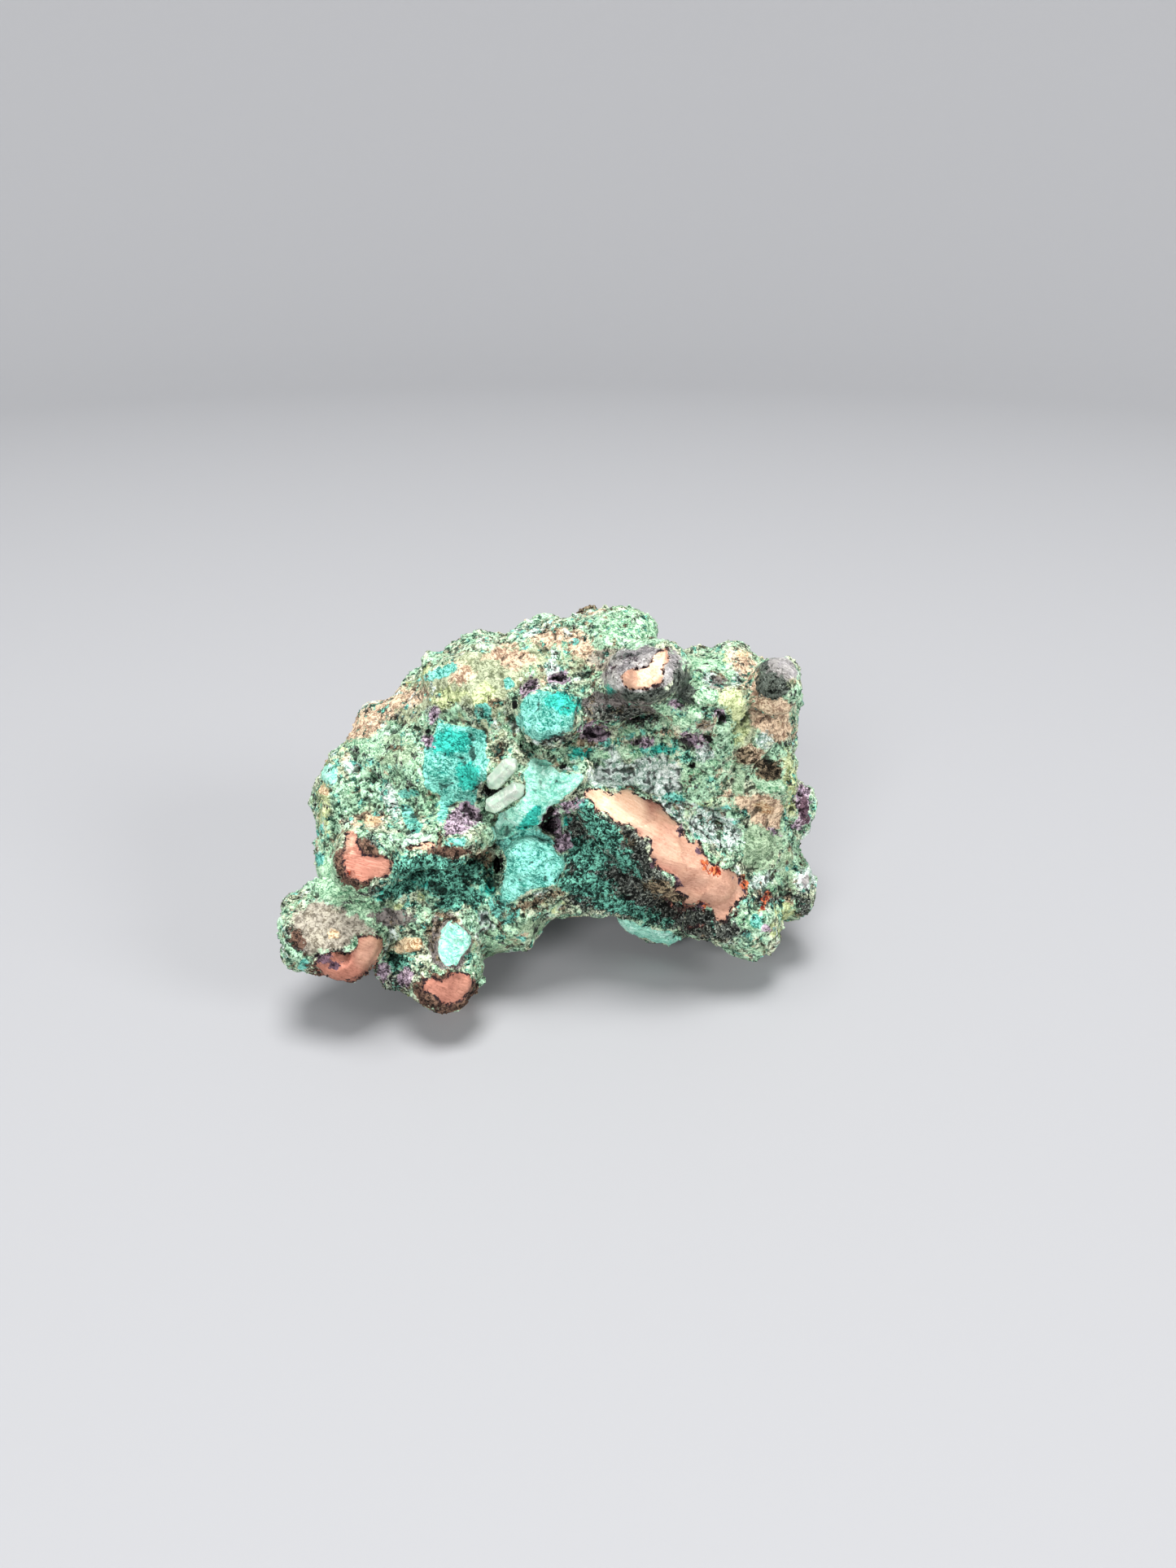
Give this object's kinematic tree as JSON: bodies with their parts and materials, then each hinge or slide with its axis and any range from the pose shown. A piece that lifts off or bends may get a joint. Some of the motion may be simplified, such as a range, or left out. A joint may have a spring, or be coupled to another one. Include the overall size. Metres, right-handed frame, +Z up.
{
  "type": "native copper nugget",
  "caption": "Arched natural nugget of native copper crusted with green and turquoise copper minerals, with small quartz crystals in a vug; rests on its own lumps.",
  "frame": {"origin": "the centre of the bounding box's base, on the surface that the nugget rests on", "axes": "+X along the nugget's length, to the right as its best face is seen; -Y out of its best face; +Z up"},
  "size_m": [0.092, 0.06, 0.064],
  "materials": {
    "copper_and_crust": "granular grey-green, turquoise and tan mineral crust over native copper that is bare and scratched on its knobs and on one long ridge",
    "quartz": "pale greenish white, translucent, faces slightly etched"
  },
  "bodies": {
    "root": {"nugget": "copper_and_crust", "quartz_crystal_upper": "quartz", "quartz_crystal_lower": "quartz"}
  },
  "joints": []
}
